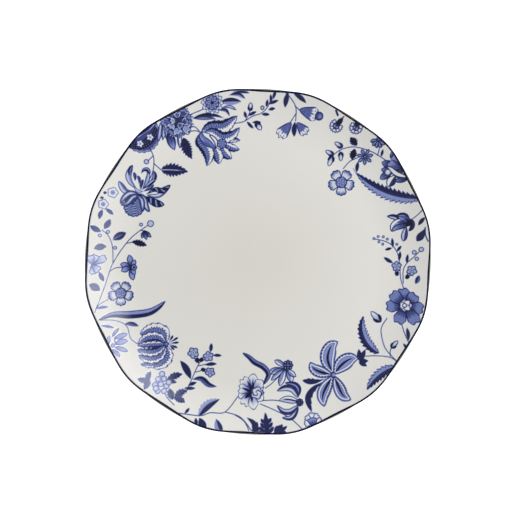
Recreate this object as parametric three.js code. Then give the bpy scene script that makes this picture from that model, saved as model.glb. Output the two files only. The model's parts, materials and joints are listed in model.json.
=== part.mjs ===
// A china dinner plate with a lobed lip, a cobalt lip band and an unglazed foot ring.
//
// Millimetres, +Z up. The origin is in the middle of the plate, on the surface it stands on.
// Seen from above, +X points to the right of the decoration and +Y to its top.
// The well is flat, the rim leaves it in one circular arc, and the lip waves in twelve
// shallow lobes. Every piece is swept once round the Z axis from a short cross-section.

import * as THREE from 'three';

// Plan
const LIP_RADIUS = 136.4; // mean radius of the painted top edge
const LOBES = 12;
const LOBE_REACH = 1.1; // how far a lobe stands outside the mean top edge, and a notch inside it
const FIRST_LOBE = THREE.MathUtils.degToRad(11.9); // bearing of the first lobe from +X
const WELL_RADIUS = 95;

// Heights and thicknesses
const FOOT_HEIGHT = 3; // underside of the well above the table
const WELL_THICKNESS = 4.5;
const LIP_THICKNESS = 3.2;
const LIP_SLOPE = THREE.MathUtils.degToRad(33); // steepest slope of the rim, at the lip
const LOBE_LIFT = 0.45; // how far a lobe stands above the mean lip, and a notch below it

// Under side of the lip, which follows the lobes only faintly
const LEDGE_RADIUS = 136.5;
const LEDGE_REACH = 0.45;
const LEDGE_ROUNDING = 0.8;

// Cobalt band on the top edge of the lip
const BAND_WIDTH = 1.5;
const BAND_DEPTH = 1.1;
const BAND_ROUNDING = 0.4;

// Foot ring
const FOOT_OUTER_RADIUS = 81;
const FOOT_WIDTH = 5;
const FOOT_FLAT_WIDTH = 2; // the part that touches the table
const FOOT_ROUNDING = 0.6;

// Fineness
const SEAM = 0.3; // gap left between neighbouring pieces
const TURN_STEPS = LOBES * 8;
const RIM_STEPS = 9;
const ROUNDING_STEPS = 2;

const WELL_TOP = FOOT_HEIGHT + WELL_THICKNESS;
const RIM_REACH = LIP_RADIUS - WELL_RADIUS;
const RIM_ARC_RADIUS = RIM_REACH / Math.sin(LIP_SLOPE);

/** 1 in the middle of a lobe and -1 in a notch. */
function lobeWave(bearing) {
  return Math.cos(LOBES * (bearing - FIRST_LOBE));
}

/** Height of the plate's upper surface. The lobes fade out from the lip to the well. */
function topHeight(radius, bearing) {
  const run = Math.max(radius - WELL_RADIUS, 0);
  const arcRise = RIM_ARC_RADIUS - Math.sqrt(RIM_ARC_RADIUS ** 2 - run ** 2);
  return WELL_TOP + arcRise + LOBE_LIFT * (run / RIM_REACH) ** 2 * lobeWave(bearing);
}

/** Height of the plate's under side, which comes nearer to the upper one towards the lip. */
function underHeight(radius, bearing) {
  const run = Math.max(radius - WELL_RADIUS, 0);
  const thickness = THREE.MathUtils.lerp(WELL_THICKNESS, LIP_THICKNESS, run / RIM_REACH);
  return topHeight(radius, bearing) - thickness;
}

/** Points of a quarter turn about (radius, height), from one angle to another. */
function rounding(radius, height, size, fromAngle, toAngle) {
  return Array.from({ length: ROUNDING_STEPS + 1 }, (_, step) => {
    const angle = THREE.MathUtils.lerp(fromAngle, toAngle, step / ROUNDING_STEPS);
    return [radius + size * Math.cos(angle), height + size * Math.sin(angle)];
  });
}

/** Evenly spaced values from one end to the other, both included. */
function spread(from, to, steps) {
  return Array.from({ length: steps + 1 }, (_, step) => THREE.MathUtils.lerp(from, to, step / steps));
}

/**
 * Sweeps a cross-section once round the Z axis. section(bearing) gives [radius, height]
 * points from the top down the outside. It closes on itself, or, where it starts and ends
 * on the axis, those two points become the poles of a disc.
 */
function sweep(section) {
  const first = section(0);
  const isDisc = first[0][0] === 0;
  const ringLength = isDisc ? first.length - 2 : first.length;
  const positions = [];
  const indices = [];
  for (let turn = 0; turn < TURN_STEPS; turn += 1) {
    const bearing = (2 * Math.PI * turn) / TURN_STEPS;
    const points = isDisc ? section(bearing).slice(1, -1) : section(bearing);
    for (const [radius, height] of points) {
      positions.push(radius * Math.cos(bearing), radius * Math.sin(bearing), height);
    }
  }
  const at = (turn, point) => (turn % TURN_STEPS) * ringLength + (point % ringLength);
  const bands = isDisc ? ringLength - 1 : ringLength;
  for (let turn = 0; turn < TURN_STEPS; turn += 1) {
    for (let point = 0; point < bands; point += 1) {
      indices.push(at(turn, point), at(turn, point + 1), at(turn + 1, point + 1));
      indices.push(at(turn, point), at(turn + 1, point + 1), at(turn + 1, point));
    }
  }
  if (isDisc) {
    const topPole = positions.length / 3;
    const underPole = topPole + 1;
    positions.push(0, 0, first[0][1], 0, 0, first.at(-1)[1]);
    for (let turn = 0; turn < TURN_STEPS; turn += 1) {
      indices.push(topPole, at(turn, 0), at(turn + 1, 0));
      indices.push(underPole, at(turn + 1, ringLength - 1), at(turn, ringLength - 1));
    }
  }
  const geometry = new THREE.BufferGeometry();
  geometry.setAttribute('position', new THREE.Float32BufferAttribute(positions, 3));
  geometry.setIndex(indices);
  geometry.computeVertexNormals();
  return geometry;
}

/** The fired body: flat well, curved rim, and a lip with a step that the band lies in. */
function bodySection(bearing) {
  const wave = lobeWave(bearing);
  const stepRadius = LIP_RADIUS + LOBE_REACH * wave - BAND_WIDTH - SEAM;
  const ledgeRadius = LEDGE_RADIUS + LEDGE_REACH * wave;
  const ledgeTop = topHeight(stepRadius, bearing) - BAND_DEPTH - SEAM;
  const underEdge = underHeight(ledgeRadius, bearing) + LEDGE_ROUNDING;
  const rimTop = spread(WELL_RADIUS, stepRadius, RIM_STEPS).map((r) => [r, topHeight(r, bearing)]);
  const rimUnder = spread(ledgeRadius - LEDGE_ROUNDING, WELL_RADIUS, RIM_STEPS).map((r) => [
    r,
    underHeight(r, bearing),
  ]);
  return [
    [0, WELL_TOP],
    ...rimTop,
    [stepRadius, ledgeTop],
    [ledgeRadius, ledgeTop],
    [ledgeRadius, underEdge],
    ...rimUnder,
    [0, FOOT_HEIGHT],
  ];
}

/** The band's ring, with its outer edges rounded. */
function bandSection(bearing) {
  const outer = LIP_RADIUS + LOBE_REACH * lobeWave(bearing);
  const inner = outer - BAND_WIDTH;
  const top = topHeight(inner, bearing);
  const under = top - BAND_DEPTH;
  const middle = outer - BAND_ROUNDING;
  return [
    [inner, top],
    ...rounding(middle, top - BAND_ROUNDING + SEAM, BAND_ROUNDING, Math.PI / 2, 0),
    ...rounding(middle, under + BAND_ROUNDING, BAND_ROUNDING, 0, -Math.PI / 2),
    [inner, under],
  ];
}

/** The foot ring: flat where it touches the table, rounded on both sides. */
function footSection() {
  const middle = FOOT_OUTER_RADIUS - FOOT_WIDTH / 2;
  const flatHalf = FOOT_FLAT_WIDTH / 2;
  const top = FOOT_HEIGHT - SEAM;
  return [
    [middle - FOOT_WIDTH / 2, top],
    [middle + FOOT_WIDTH / 2, top],
    ...rounding(middle + flatHalf, FOOT_ROUNDING, FOOT_ROUNDING, 0, -Math.PI / 2),
    ...rounding(middle - flatHalf, FOOT_ROUNDING, FOOT_ROUNDING, -Math.PI / 2, -Math.PI),
  ];
}

function pieceOf(name, section, material) {
  const piece = new THREE.Mesh(sweep(section), material);
  piece.name = name;
  return piece;
}

const glazedPorcelain = new THREE.MeshStandardMaterial({
  color: 0xece9df,
  roughness: 0.12,
  metalness: 0,
});
const unglazedPorcelain = new THREE.MeshStandardMaterial({
  color: 0xd9d3c4,
  roughness: 0.8,
  metalness: 0,
});
const cobaltGlaze = new THREE.MeshStandardMaterial({
  color: 0x1e1f4d,
  roughness: 0.15,
  metalness: 0,
});

const plate = new THREE.Group();
plate.add(pieceOf('plate_body', bodySection, glazedPorcelain));
plate.add(pieceOf('foot_ring', footSection, unglazedPorcelain));
plate.add(pieceOf('lip_band', bandSection, cobaltGlaze));

export default plate;
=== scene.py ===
import json
import math
from collections import namedtuple

import bpy
import numpy as np
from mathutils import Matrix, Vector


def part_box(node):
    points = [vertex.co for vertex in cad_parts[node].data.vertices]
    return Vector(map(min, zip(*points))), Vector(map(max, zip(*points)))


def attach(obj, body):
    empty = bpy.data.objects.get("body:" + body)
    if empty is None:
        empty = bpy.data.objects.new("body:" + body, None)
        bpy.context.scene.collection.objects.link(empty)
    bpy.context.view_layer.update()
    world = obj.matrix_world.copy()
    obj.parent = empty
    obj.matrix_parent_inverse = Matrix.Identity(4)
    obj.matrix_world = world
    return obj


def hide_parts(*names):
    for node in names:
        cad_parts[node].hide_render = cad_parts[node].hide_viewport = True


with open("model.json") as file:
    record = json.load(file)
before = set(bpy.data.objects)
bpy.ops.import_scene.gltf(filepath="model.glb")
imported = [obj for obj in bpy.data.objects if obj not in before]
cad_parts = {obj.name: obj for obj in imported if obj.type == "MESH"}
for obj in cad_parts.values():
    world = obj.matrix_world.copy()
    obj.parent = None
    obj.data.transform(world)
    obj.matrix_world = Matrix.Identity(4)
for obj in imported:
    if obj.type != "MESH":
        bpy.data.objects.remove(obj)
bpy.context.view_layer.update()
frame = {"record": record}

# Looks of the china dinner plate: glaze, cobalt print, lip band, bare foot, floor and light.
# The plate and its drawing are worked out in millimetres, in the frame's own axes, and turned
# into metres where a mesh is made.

MM = 0.001

# ---------------------------------------------------------------- the plate's own sizes
FOOT_BOX = [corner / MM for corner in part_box("foot_ring")]
FOOT_OUTER_RADIUS = FOOT_BOX[1].x
WELL_TOP = next(m for m in frame["record"]["mounts"] if m["name"] == "well_face")["pos_m"][2] / MM
WELL_THICKNESS = 4.5
LIP_THICKNESS = 3.2
FOOT_HEIGHT = WELL_TOP - WELL_THICKNESS
FOOT_WIDTH = 5
FOOT_FLAT_WIDTH = 2
LIP_RADIUS = 136.4
LOBES = 12
LOBE_REACH = 1.1
FIRST_LOBE = math.radians(11.9)
WELL_RADIUS = 95
LIP_SLOPE = math.radians(33)
LOBE_LIFT = 0.45
LEDGE_RADIUS = 136.5
LEDGE_REACH = 0.45
LEDGE_IN_NOTCH = 0.36  # further out in a notch, where the glaze has pooled
LIP_NOSE = 0.9  # radius of the lip's outer edge
BAND_WIDTH = 1.45
BAND_DEPTH = 1.1
RIM_REACH = LIP_RADIUS - WELL_RADIUS
RIM_ARC_RADIUS = RIM_REACH / math.sin(LIP_SLOPE)
TURN_STEPS = LOBES * 32


def lobe_wave(bearing):
    """1 in the middle of a lobe and -1 in a notch."""
    return np.cos(LOBES * (bearing - FIRST_LOBE))


def top_height(radius, bearing):
    """Height of the plate's upper surface. The lobes fade out from the lip to the well."""
    run = np.maximum(radius - WELL_RADIUS, 0)
    rise = RIM_ARC_RADIUS - np.sqrt(RIM_ARC_RADIUS**2 - run**2)
    return WELL_TOP + rise + LOBE_LIFT * (run / RIM_REACH) ** 2 * lobe_wave(bearing)


def under_height(radius, bearing):
    """Height of the under side, which comes nearer to the upper one towards the lip."""
    run = np.maximum(radius - WELL_RADIUS, 0)
    thickness = WELL_THICKNESS + (LIP_THICKNESS - WELL_THICKNESS) * run / RIM_REACH
    return top_height(radius, bearing) - thickness


def band_inner_radius(bearing):
    return LIP_RADIUS + LOBE_REACH * lobe_wave(bearing) - BAND_WIDTH


# ---------------------------------------------------------------- meshes swept round the axis
def add_piece(name, vertices_mm, faces, material, slot, replaced=None):
    """Makes a smooth mesh object that rides with the plate."""
    mesh = bpy.data.meshes.new(name)
    mesh.from_pydata((np.asarray(vertices_mm) * MM).tolist(), [], faces)
    mesh.shade_smooth()
    mesh.materials.append(material)
    piece = bpy.data.objects.new(name, mesh)
    bpy.context.scene.collection.objects.link(piece)
    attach(piece, "root")
    if replaced:
        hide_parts(replaced)
    return piece


def sweep(section):
    """Vertices and faces of a cross-section swept once round the Z axis.

    section(bearings) gives a list of (radius, height) pairs, from the top down the outside.
    It closes on itself, or, where it starts and ends at radius 0, has a pole at each end.
    """
    bearings = np.arange(TURN_STEPS) * 2 * math.pi / TURN_STEPS
    points = section(bearings)
    is_disc = np.all(points[0][0] == 0)
    rings = points[1:-1] if is_disc else points
    flat = np.ones(TURN_STEPS)
    stack = np.array([[radius * flat, height * flat] for radius, height in rings])
    radii, heights = stack[:, 0].T, stack[:, 1].T
    turned = np.stack(
        [radii * np.cos(bearings)[:, None], radii * np.sin(bearings)[:, None], heights], axis=2
    )
    vertices = turned.reshape(-1, 3).tolist()
    count = len(rings)
    faces = []
    for turn in range(TURN_STEPS):
        here = turn * count
        beyond = (turn + 1) % TURN_STEPS * count
        for ring in range(count - 1 if is_disc else count):
            after = (ring + 1) % count
            faces.append((here + ring, here + after, beyond + after, beyond + ring))
    if is_disc:
        top_pole = len(vertices)
        vertices += [[0, 0, float(points[0][1])], [0, 0, float(points[-1][1])]]
        for turn in range(TURN_STEPS):
            here = turn * count
            beyond = (turn + 1) % TURN_STEPS * count
            faces.append((top_pole, here, beyond))
            faces.append((top_pole + 1, beyond + count - 1, here + count - 1))
    return vertices, faces


def rounding(radius, height, size, from_degrees, to_degrees, steps=6):
    """Points of an arc about (radius, height)."""
    angles = np.radians(np.linspace(from_degrees, to_degrees, steps + 1))
    return [(radius + size * math.cos(a), height + size * math.sin(a)) for a in angles]


def along_surface(height, bearing, from_radius, to_radius, first, steps):
    """Points on a surface, from a first share of the way between two radii to the second one."""
    radii = [from_radius + (to_radius - from_radius) * share for share in np.linspace(first, 1, steps)]
    return [(radius, height(radius, bearing)) for radius in radii]


def body_section(bearing):
    """The glazed body. Its lip is rounded, and the band lies over the lip's upper edge."""
    wave = lobe_wave(bearing)
    tuck = band_inner_radius(bearing) + 0.2  # from here on the glaze dips under the band
    tuck_height = top_height(tuck, bearing)
    nose = LEDGE_RADIUS + LEDGE_REACH * wave + LEDGE_IN_NOTCH * (1 - wave) / 2 - LIP_NOSE
    nose_height = under_height(nose, bearing) + LIP_NOSE
    points = [(radius, WELL_TOP) for radius in (0, *np.linspace(6, WELL_RADIUS, 12))]
    points += along_surface(top_height, bearing, WELL_RADIUS, tuck, 0.02, 44)
    points.append((tuck + 0.15, tuck_height - 0.35))
    points.append((nose, tuck_height - BAND_DEPTH + 0.35))
    points += rounding(nose, nose_height, LIP_NOSE, 60, -62, 8)
    points += along_surface(under_height, bearing, nose - 1, WELL_RADIUS, 0.01, 30)
    points += [(radius, FOOT_HEIGHT) for radius in (*np.linspace(WELL_RADIUS - 2, 4, 24), 0)]
    return points


def band_section(bearing):
    """The painted edge: flush with the glaze inside, and rounded over the lip outside."""
    wander = 0.06 * np.sin(7 * bearing + 1) + 0.05 * np.sin(31 * bearing)  # of the brush, in mm
    outer = LIP_RADIUS + LOBE_REACH * lobe_wave(bearing)
    inner = outer - BAND_WIDTH + wander
    bulge = BAND_DEPTH / 3
    middle = outer - bulge
    points = [(inner, top_height(inner, bearing) + 0.01)]
    points += [(radius, top_height(radius, bearing) + 0.07) for radius in (inner + 0.15, inner + 0.8)]
    points += rounding(middle, top_height(middle, bearing) + 0.05 - bulge, bulge, 60, -80, 10)
    points.append((inner + 0.1, top_height(inner, bearing) - BAND_DEPTH + 0.25))
    return points


def foot_section(bearing):
    """The foot ring, drawn out of the under side in a hollow curve on both sides."""
    middle = FOOT_OUTER_RADIUS - FOOT_WIDTH / 2
    half = FOOT_FLAT_WIDTH / 2
    corner = 0.6
    flare = FOOT_HEIGHT - corner
    side = half + corner
    points = [(middle - side - flare, FOOT_HEIGHT + 1), (middle + side + flare, FOOT_HEIGHT + 1)]
    points += rounding(middle + side + flare, corner, flare, 90, 180, 8)
    points += rounding(middle + half, corner, corner, 0, -90)[1:]
    points += rounding(middle - half, corner, corner, -90, -180)
    points += rounding(middle - side - flare, corner, flare, 0, 90, 8)[1:]
    return points


# ---------------------------------------------------------------- drawing the print
# The print is drawn as seen from above, shape over shape, as tone on a fine square grid:
# 0 is bare glaze and 1 the deepest cobalt. Places are (x, y) in millimetres from the middle
# of the plate, and headings are degrees from +X. Each spray is its own drawing and piece.
GRID_STEP = 0.4
GRID = np.arange(-LIP_RADIUS, LIP_RADIUS, GRID_STEP)
SOFT = 0.5  # width over which an edge fades
LINE_WIDTH = 0.62
HATCH_PITCH = 1.9
FRILL_PITCH = 4
TOOTH_DEPTH = 0.36
BARE, PALE, LIGHT, MID, DEEP, NAVY = 0.0, 0.16, 0.36, 0.56, 0.8, 1.0
DARK_LEAF = DEEP + 0.06

tone_grid = np.zeros((len(GRID), len(GRID)))  # the whole print
cover_grid = np.zeros_like(tone_grid)  # where the spray in hand is drawn

# What an ink is told of a point in a shape: the share of the way along it (or out from its
# middle), the share of the way to its left side (or the angle round it), the distance along
# it, the distance to the left of its spine, and how deep it lies inside the edge.
Place = namedtuple("Place", "along side run left depth")


def edge(distance):
    """0 outside an edge and 1 inside it, with a soft step between."""
    return np.clip(distance / SOFT + 0.5, 0, 1)


def toward(heading):
    """One step of 1 mm along a heading."""
    return np.array([math.cos(math.radians(heading)), math.sin(math.radians(heading))])


def heading_to(x, y, tip_x, tip_y):
    return math.degrees(math.atan2(tip_y - y, tip_x - x))


def waves(distance, pitch):
    """The phase, in radians, of a pattern that repeats every pitch."""
    return distance * 2 * math.pi / pitch


def dashes(phase, gap=1.0):
    """1 in the middle of each dash and 0 between them. A greater gap makes shorter dashes."""
    return np.clip(2 * np.cos(phase) - gap, 0, 1)


def over(tone, top, share):
    """The tone where a top tone covers this share of it."""
    return tone + (top - tone) * share


def bow(x, y, heading, length, bend=0, steps=14):
    """Points of an arc that leaves (x, y), lies along heading, and turns left by bend."""
    turns = np.radians(heading + bend * ((np.arange(steps) + 0.5) / steps - 0.5))
    hops = np.stack([np.cos(turns), np.sin(turns)], axis=1) * length / steps
    return np.concatenate([[(x, y)], (x, y) + np.cumsum(hops, axis=0)])


def arc(x, y, tip_x, tip_y, bend=0):
    """Points of an arc from one point to another that turns left by bend."""
    span = math.hypot(tip_x - x, tip_y - y)
    half = math.radians(abs(bend) / 2)
    length = span * half / math.sin(half) if half else span
    return bow(x, y, heading_to(x, y, tip_x, tip_y), length, bend)


def through(*points, steps=8):
    """Points of a smooth curve through these ones."""
    knots = np.array([points[0], *points, points[-1]], float)
    share = np.arange(steps)[:, None] / steps
    stretches = [
        b + 0.5 * share * (c - a + share * (2 * a - 5 * b + 4 * c - d + share * (3 * (b - c) + d - a)))
        for a, b, c, d in zip(knots, knots[1:], knots[2:], knots[3:])
    ]
    return np.concatenate([*stretches, knots[-1:]])


def lens(share, point, peak):
    """Width of a leaf along its length: 1 at its peak, and more pointed as point grows."""
    moved = np.clip(share, 0, 1) ** (math.log(0.5) / math.log(peak))
    return (4 * moved * (1 - moved)) ** point


def window(points, margin):
    """The part of the grid that is near these points, and its x and y."""
    low = np.searchsorted(GRID, points.min(axis=0) - margin)
    high = np.searchsorted(GRID, points.max(axis=0) + margin)
    area = (slice(low[1], high[1]), slice(low[0], high[0]))
    x, y = np.meshgrid(GRID[area[1]], GRID[area[0]])
    return area, x, y


def lay(area, place, ink, line, line_width=LINE_WIDTH):
    """Lays ink wherever depth is positive, with an outline in the tone of line, if it has one."""
    tone = ink(place) if callable(ink) else ink
    if line is not None:
        tone = over(tone, line, edge(line_width - place.depth))
    cover = edge(place.depth)
    tone_grid[area] += (tone - tone_grid[area]) * cover
    cover_grid[area] = np.maximum(cover_grid[area], cover)


def blade(spine, width, ink, point=1.0, peak=0.5, teeth=0, toothed_side=0, frill=0, line=NAVY):
    """A leaf or pointed petal along a spine. Teeth are cut on both sides, or on one."""
    area, x, y = window(spine, width / 2 + 1)
    step = np.diff(spine, axis=0)
    size = np.hypot(*step.T)
    from_x = x[..., None] - spine[:-1, 0]
    from_y = y[..., None] - spine[:-1, 1]
    share = np.clip((from_x * step[:, 0] + from_y * step[:, 1]) / size**2, 0, 1)
    off_x = from_x - share * step[:, 0]
    off_y = from_y - share * step[:, 1]
    nearest = np.argmin(off_x**2 + off_y**2, axis=2)[..., None]
    pick = lambda values: np.take_along_axis(values, nearest, axis=2)[..., 0]
    start = np.concatenate([[0], np.cumsum(size)[:-1]])
    run = pick(start + share * size)
    along = run / size.sum()
    turned = pick(step[:, 0] * off_y - step[:, 1] * off_x)
    left = np.copysign(np.hypot(pick(off_x), pick(off_y)), turned)
    half = width / 2 * lens(along, point, peak)
    half = half + frill * lens(along, 0.5, 0.5) * np.cos(waves(run + left, FRILL_PITCH))
    if teeth:
        cut = 1 - TOOTH_DEPTH * (1 - along * teeth % 1)
        half = half * np.where(left * toothed_side >= 0, cut, 1)
    lay(area, Place(along, left / np.maximum(half, 0.1), run, left, half - np.abs(left)), ink, line)


def curve(width, ink, *points, **shape):
    """A blade on a smooth curve through these points."""
    blade(through(*points), width, ink, **shape)


def dart(x, y, tip_x, tip_y, width, bend=0, ink=NAVY, **shape):
    """A blade from one point to another, on an arc that turns left by bend."""
    blade(arc(x, y, tip_x, tip_y, bend), width, ink, **shape)


def stem(*points, width=0.5, tone=NAVY):
    curve(width, tone, *points, point=0, line=None)


def petal(x, y, heading, length, width, ink, frills=3, frill=0.07, spread=0.6, line=NAVY):
    """A petal that widens from (x, y) to a rounded, frilled end."""
    ahead = toward(heading)
    area, grid_x, grid_y = window(np.array([(x, y), (x, y) + length * ahead]), width / 2 + 1)
    run = (grid_x - x) * ahead[0] + (grid_y - y) * ahead[1]
    left = (grid_y - y) * ahead[0] - (grid_x - x) * ahead[1]
    side = np.clip(left / (width / 2), -1, 1)
    end = length * (0.6 + 0.4 * np.sqrt(1 - side**2))
    end = end * (1 - frill * (0.5 + 0.5 * np.cos(math.pi * frills * (side + 1))))
    half = width / 2 * np.clip(run / (0.8 * length), 0, 1) ** spread
    depth = np.where(run > 0, np.minimum(half - np.abs(left), end - run), -1)
    lay(area, Place(run / end, left / np.maximum(half, 0.1), run, left, depth), ink, line)


def disc(x, y, radius, ink, lobes=0, lobe=0.1, turn=0, line=NAVY, line_width=LINE_WIDTH):
    """A round or lobed shape."""
    area, grid_x, grid_y = window(np.array([(x, y)]), radius * (1 + lobe) + 1)
    run, left = grid_x - x, grid_y - y
    out = np.hypot(run, left)
    around = np.arctan2(left, run)
    rim = radius * (1 + lobe * np.cos(lobes * (around - math.radians(turn)))) if lobes else radius
    lay(area, Place(out / rim, around, run, left, rim - out), ink, line, line_width)


def each(draw, *rows, **shape):
    """Draws one shape for each row of its measures."""
    for row in rows:
        draw(*row, **shape)


# ---------------------------------------------------------------- inks, which give a tone at each place
def wash(near, far, reach=1.0):
    """From one tone at the base or middle to another at this share of the way."""
    return lambda at: near + (far - near) * np.clip(at.along / reach, 0, 1)


def streaked(near, far, streaks=5, reach=0.8, strength=0.35):
    """A wash with dark streaks that run out from the base and die away."""

    def ink(at):
        streak = dashes(math.pi * streaks * at.side, 0.8) * np.clip(1.1 - at.along / reach, 0, 1)
        return np.minimum(wash(near, far, reach)(at) + strength * streak, NAVY)

    return ink


def fringed(near, far, fringe=7, start=0.66):
    """A pale petal with a fringe of dark dashes round its outer edge."""

    def ink(at):
        comb = 0.5 + 0.5 * np.cos(math.pi * fringe * at.side)
        out = np.clip((at.along - start) / (1 - start), 0, 1)
        return over(near, far, out * (0.35 + 0.65 * comb))

    return ink


def halved(left_tone, right_tone, rib=None, rib_width=0.3):
    """A leaf with a tone on each side of its spine, and perhaps a midrib that dies away."""

    def ink(at):
        tone = over(right_tone, left_tone, edge(at.left))
        if rib is None:
            return tone
        return over(tone, rib, edge(rib_width - np.abs(at.left)) * np.clip(3 - 3.4 * at.along, 0, 1))

    return ink


def curled(dark_side=1, rim=0.2):
    """A curled petal: dark along one side, a dashed body, and a bare rim on the other side."""

    def ink(at):
        side = at.side * dark_side
        notch = 0.12 * np.cos(waves(at.run, HATCH_PITCH))
        hatch = dashes(waves(at.run + 1.2 * side, HATCH_PITCH))
        tone = LIGHT + 0.08 + 0.36 * hatch * edge(2 * (0.5 - np.abs(side)))
        tone = over(tone, NAVY, edge(3 * (side - 0.55)))
        tone = over(tone, DEEP, edge(0.25 - 4 * np.abs(side + rim - 0.08 - notch)))
        return over(tone, BARE, edge(4 * (notch - side - rim)))

    return ink


def nested(*bands):
    """Bands of tone one inside the other, as (depth, tone) from the edge in."""

    def ink(at):
        tone = bands[0][1]
        for depth, inner in bands[1:]:
            tone = over(tone, inner, edge(at.depth - depth))
        return tone

    return ink


def beaded(bead, ground, pitch=1.7):
    """A ground with beads in slanting rows."""
    rows = lambda at: np.cos(waves(at.run, pitch)) + np.cos(waves(at.left, pitch))
    return lambda at: over(ground, bead, np.clip(rows(at) - 0.4, 0, 1))


def scaled(rings, scales, near=LIGHT, far=DEEP):
    """Overlapping scales in rings, for the heart of a flower."""

    def ink(at):
        row = np.floor(at.along * rings)
        arch = 0.55 + 0.35 * np.cos(scales * at.side + math.pi * row)
        return over(near, far, np.clip(1 - 4 * np.abs(at.along * rings - row - arch), 0, 1))

    return ink


# ---------------------------------------------------------------- leaves, buds and flowers
def leaf(x, y, tip_x, tip_y, width, bend=0, tone=DEEP + 0.08, other=None, rib=None, **shape):
    """A leaf without an outline, in one tone, or in another on its right side."""
    ink = halved(tone, tone if other is None else other, rib)
    dart(x, y, tip_x, tip_y, width, bend, ink, line=None, **shape)


def feather(x, y, tip_x, tip_y, width, bend, dark_side, teeth):
    """A long leaf, toothed and dark on one side, pale with a dashed edge on the other."""
    pale_half = nested((0, DEEP), (0.5, LIGHT))

    def ink(at):
        pale = pale_half(at) + 0.35 * dashes(waves(at.run, 2.2)) * edge(1.4 - at.depth)
        tone = over(pale, NAVY - 0.1, edge(at.left * dark_side + 0.1))
        rib = edge(0.12 - np.abs(at.left * dark_side - 0.9)) * np.clip(2 - 2 * at.along, 0, 1)
        return over(tone, LIGHT, 0.6 * rib)

    dart(x, y, tip_x, tip_y, width, bend, ink, point=0.75, peak=0.42, teeth=teeth, line=None)


def acanthus(x, y, tip_x, tip_y, width, bend=0, lobes=3):
    """A broad dark leaf whose lobes stand out on both sides of its spine."""
    spine = arc(x, y, tip_x, tip_y, bend)
    blade(spine, width * 0.42, DARK_LEAF, point=0.7, peak=0.42, line=None)
    for k in range(lobes):
        at = int((0.1 + 0.62 * k / lobes) * (len(spine) - 1))
        heading = heading_to(*spine[at], *spine[at + 1])
        size = width * (0.78 - 0.26 * k / lobes)
        for lean in (-44, 44):
            lobe = bow(*spine[at], heading + lean, size, -0.5 * lean)
            blade(lobe, width * 0.27, DARK_LEAF, peak=0.6, line=None)


def bud(x, y, tip_x, tip_y, width):
    """A pale bud in a dark calyx."""
    dart(x, y, tip_x, tip_y, width, 0, wash(LIGHT, BARE, 0.9), point=0.75, peak=0.55)
    length = 0.6 * math.hypot(tip_x - x, tip_y - y)
    for lean in (-26, 26):
        sepal = bow(x, y, heading_to(x, y, tip_x, tip_y) + lean, length, -lean)
        blade(sepal, width * 0.5, NAVY - 0.05, line=None)


def berry(x, y, radius, line=DEEP):
    disc(x, y, radius, wash(PALE, PALE + 0.08), line=line, line_width=0.55)


def blossom(x, y, radius, calyx):
    """A small five-lobed flower with a pale eye, and a dark calyx behind it at an angle."""
    base = (x, y) + 1.7 * radius * toward(calyx)
    disc((x + base[0]) / 2, (y + base[1]) / 2, radius * 0.44, PALE)
    dart(*base, x + 0.7 * (base[0] - x), y + 0.7 * (base[1] - y), radius * 0.9, point=0.4, line=None)
    disc(*base, radius * 0.38, NAVY, line=None)
    lean = math.radians(calyx)
    shaded = lambda at: LIGHT - 0.1 + 0.34 * np.clip(np.cos(5 * (at.side - lean)), 0, 1) * at.along
    disc(x, y, radius, shaded, lobes=5, lobe=0.12, turn=calyx + 36)
    disc(x, y, radius * 0.44, BARE, line=MID)
    disc(x, y, radius * 0.16, DEEP, line=None)


def star(x, y, radius, petals, turn, near, far):
    """A flower of narrow pointed petals round a dark middle."""
    for k in range(petals):
        blade(bow(x, y, turn + 360 / petals * k, radius), radius * 0.44, wash(near, far, 0.5), peak=0.64)
    disc(x, y, radius * 0.2, LIGHT)


def bell(x, y, heading, length, width, ball=0):
    """A hanging bell: blue cup, white toothed mouth, and perhaps a ball in it."""

    def ink(at):
        cup = edge(8 * (0.7 + 0.06 * np.cos(5 * math.pi * at.side) - at.along))
        beads = DEEP * edge(0.3 - np.abs(at.along - 0.86) * length) * dashes(14 * at.side, 0)
        return over(beads, MID - 0.03, cup)

    petal(x, y, heading, length, width, ink, frill=0.1, spread=0.55)
    if ball:
        disc(*((x, y) + (length + ball * 0.1) * toward(heading)), ball, wash(DEEP, MID))
        disc(*((x, y) + (length + ball * 0.3) * toward(heading)), ball * 0.6, wash(LIGHT, MID), line=None)


def bead_head(x, y, radius, bead=1.1):
    """A round head of little beads."""
    for ring, count in ((1.0, 8), (0.5, 4), (0.0, 1)):
        for k in range(count):
            disc(*((x, y) + radius * ring * toward(360 * k / count)), bead, LIGHT)


def ring_of_petals(x, y, count, length, width, ink, turn=0, **shape):
    for k in range(count):
        petal(x, y, turn + 360 / count * k, length, width, ink, **shape)


def dog_rose(x, y, radius):
    """Five separate pale petals with dashed edges round a scaled heart."""
    ring_of_petals(x, y, 5, radius, radius * 0.86, fringed(PALE - 0.05, NAVY), turn=270, frill=0.06)
    disc(x, y, radius * 0.42, scaled(2.6, 5))


def hibiscus(x, y, radius, turn):
    """Seven broad blue petals, dark at the heart, with a pale crumpled middle."""
    ink = streaked(NAVY, MID - 0.12, reach=0.66, strength=0.34)
    sizes = {62: 0.88, 10: 0.76, 310: 0.86, 145: 0.96, 208: 1, 262: 1.04, 100: 0.94}
    for heading, size in sizes.items():
        petal(x, y, turn + heading, radius * size, radius * 0.68, ink, frills=2, frill=0.09, spread=0.56)
    disc(x, y, radius * 0.3, scaled(2, 3, BARE, DEEP), lobes=7, lobe=0.08)
    disc(x - radius * 0.05, y, radius * 0.11, BARE, line=DEEP)


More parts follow.
